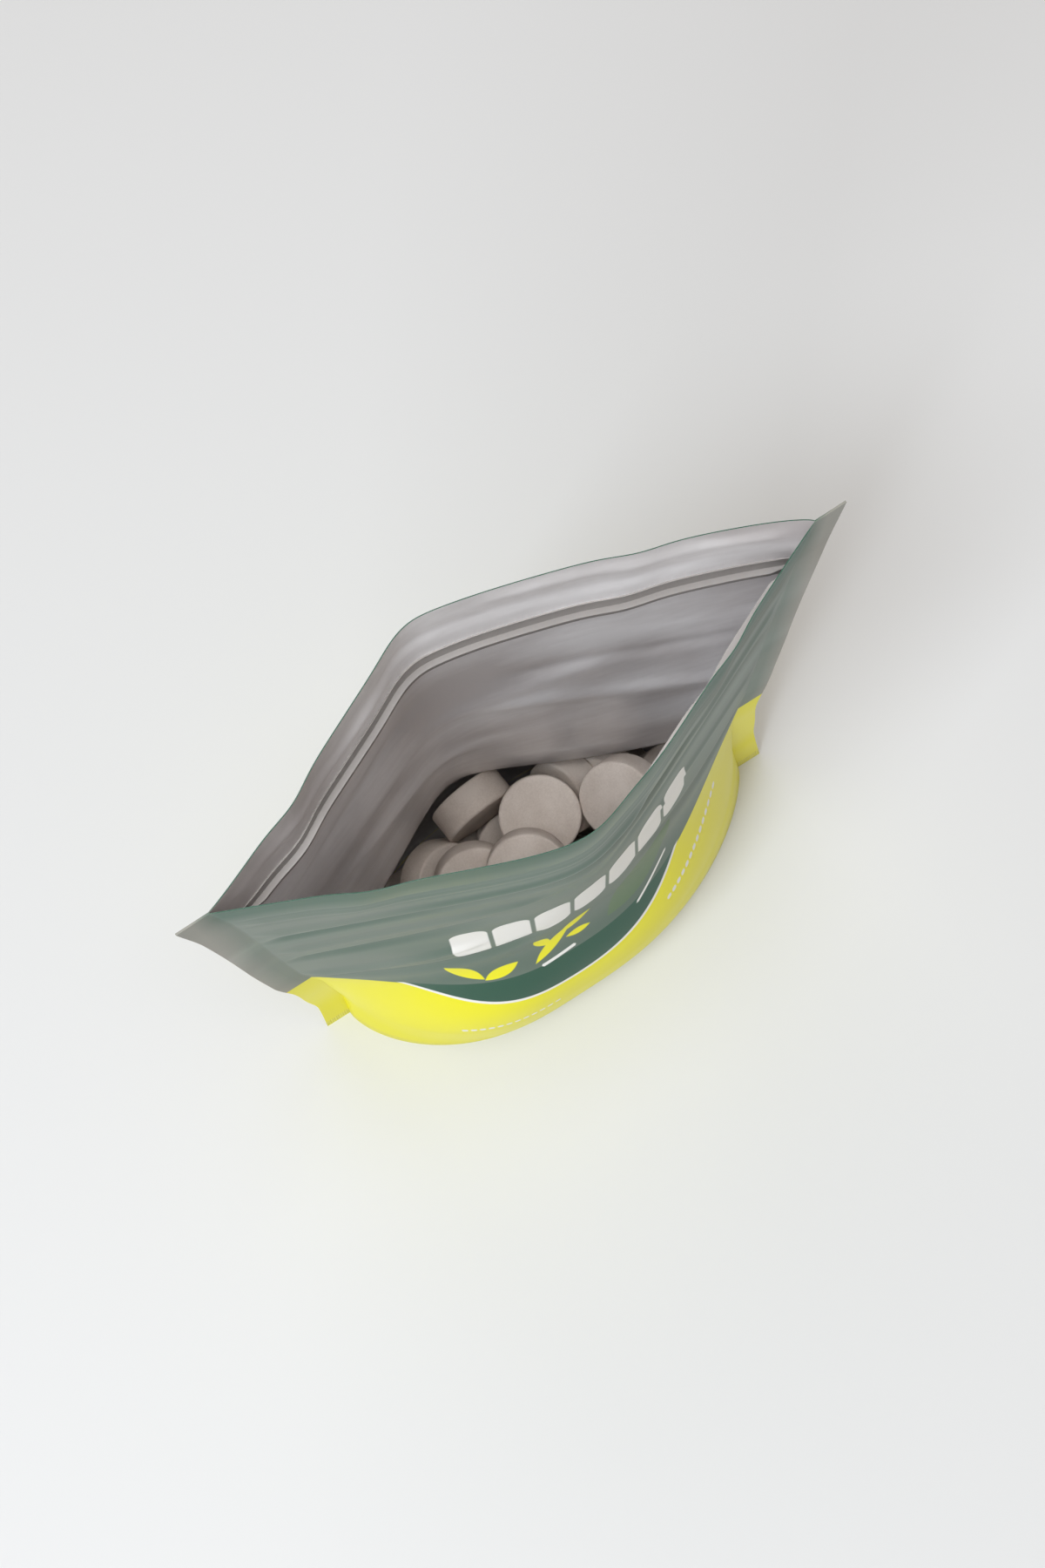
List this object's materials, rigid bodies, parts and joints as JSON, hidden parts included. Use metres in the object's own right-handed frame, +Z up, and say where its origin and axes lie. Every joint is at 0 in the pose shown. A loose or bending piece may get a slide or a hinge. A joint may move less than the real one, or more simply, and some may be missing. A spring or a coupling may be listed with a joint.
{
  "type": "pack of produce cleaning tablets",
  "caption": "Open stand-up film bag with a bottom gusset, side seals and a press-to-close zip, holding loose round pressed tablets for washing produce.",
  "frame": {"origin": "on the floor, in the middle of the seam line between the two sides of the bag", "axes": "+Z up, X along the bag's width through both side seals, -Y towards the printed front"},
  "size_m": [0.1458, 0.0629, 0.19],
  "materials": {
    "printed_film": "matte laminated film, dark green over lime, with an aluminium inside",
    "lime_film": "matte laminated film in lime, with an aluminium inside",
    "zip_tape": "translucent grey polyethylene zip strip",
    "pressed_tablet": "pressed powder, matte cream, very fine grain"
  },
  "bodies": {
    "root": {"front_panel": "printed_film", "back_panel": "printed_film", "bottom_gusset": "lime_film", "zip_ridge_strip": "zip_tape", "zip_groove_strip": "zip_tape", "tablet_01": "pressed_tablet", "tablet_02": "pressed_tablet", "tablet_03": "pressed_tablet", "tablet_04": "pressed_tablet", "tablet_05": "pressed_tablet", "tablet_06": "pressed_tablet", "tablet_07": "pressed_tablet", "tablet_08": "pressed_tablet", "tablet_09": "pressed_tablet", "tablet_10": "pressed_tablet", "tablet_11": "pressed_tablet", "tablet_12": "pressed_tablet", "tablet_13": "pressed_tablet", "tablet_14": "pressed_tablet", "tablet_15": "pressed_tablet", "tablet_16": "pressed_tablet", "tablet_17": "pressed_tablet", "tablet_18": "pressed_tablet", "tablet_19": "pressed_tablet", "tablet_20": "pressed_tablet", "tablet_21": "pressed_tablet", "tablet_22": "pressed_tablet", "tablet_23": "pressed_tablet", "tablet_24": "pressed_tablet", "tablet_25": "pressed_tablet", "tablet_26": "pressed_tablet", "tablet_27": "pressed_tablet", "tablet_28": "pressed_tablet", "tablet_29": "pressed_tablet", "tablet_30": "pressed_tablet", "tablet_31": "pressed_tablet", "tablet_32": "pressed_tablet", "tablet_33": "pressed_tablet", "tablet_34": "pressed_tablet", "tablet_35": "pressed_tablet", "tablet_36": "pressed_tablet", "tablet_37": "pressed_tablet", "tablet_38": "pressed_tablet", "tablet_39": "pressed_tablet", "tablet_40": "pressed_tablet", "tablet_41": "pressed_tablet", "tablet_42": "pressed_tablet", "tablet_43": "pressed_tablet", "tablet_44": "pressed_tablet"}
  },
  "joints": []
}
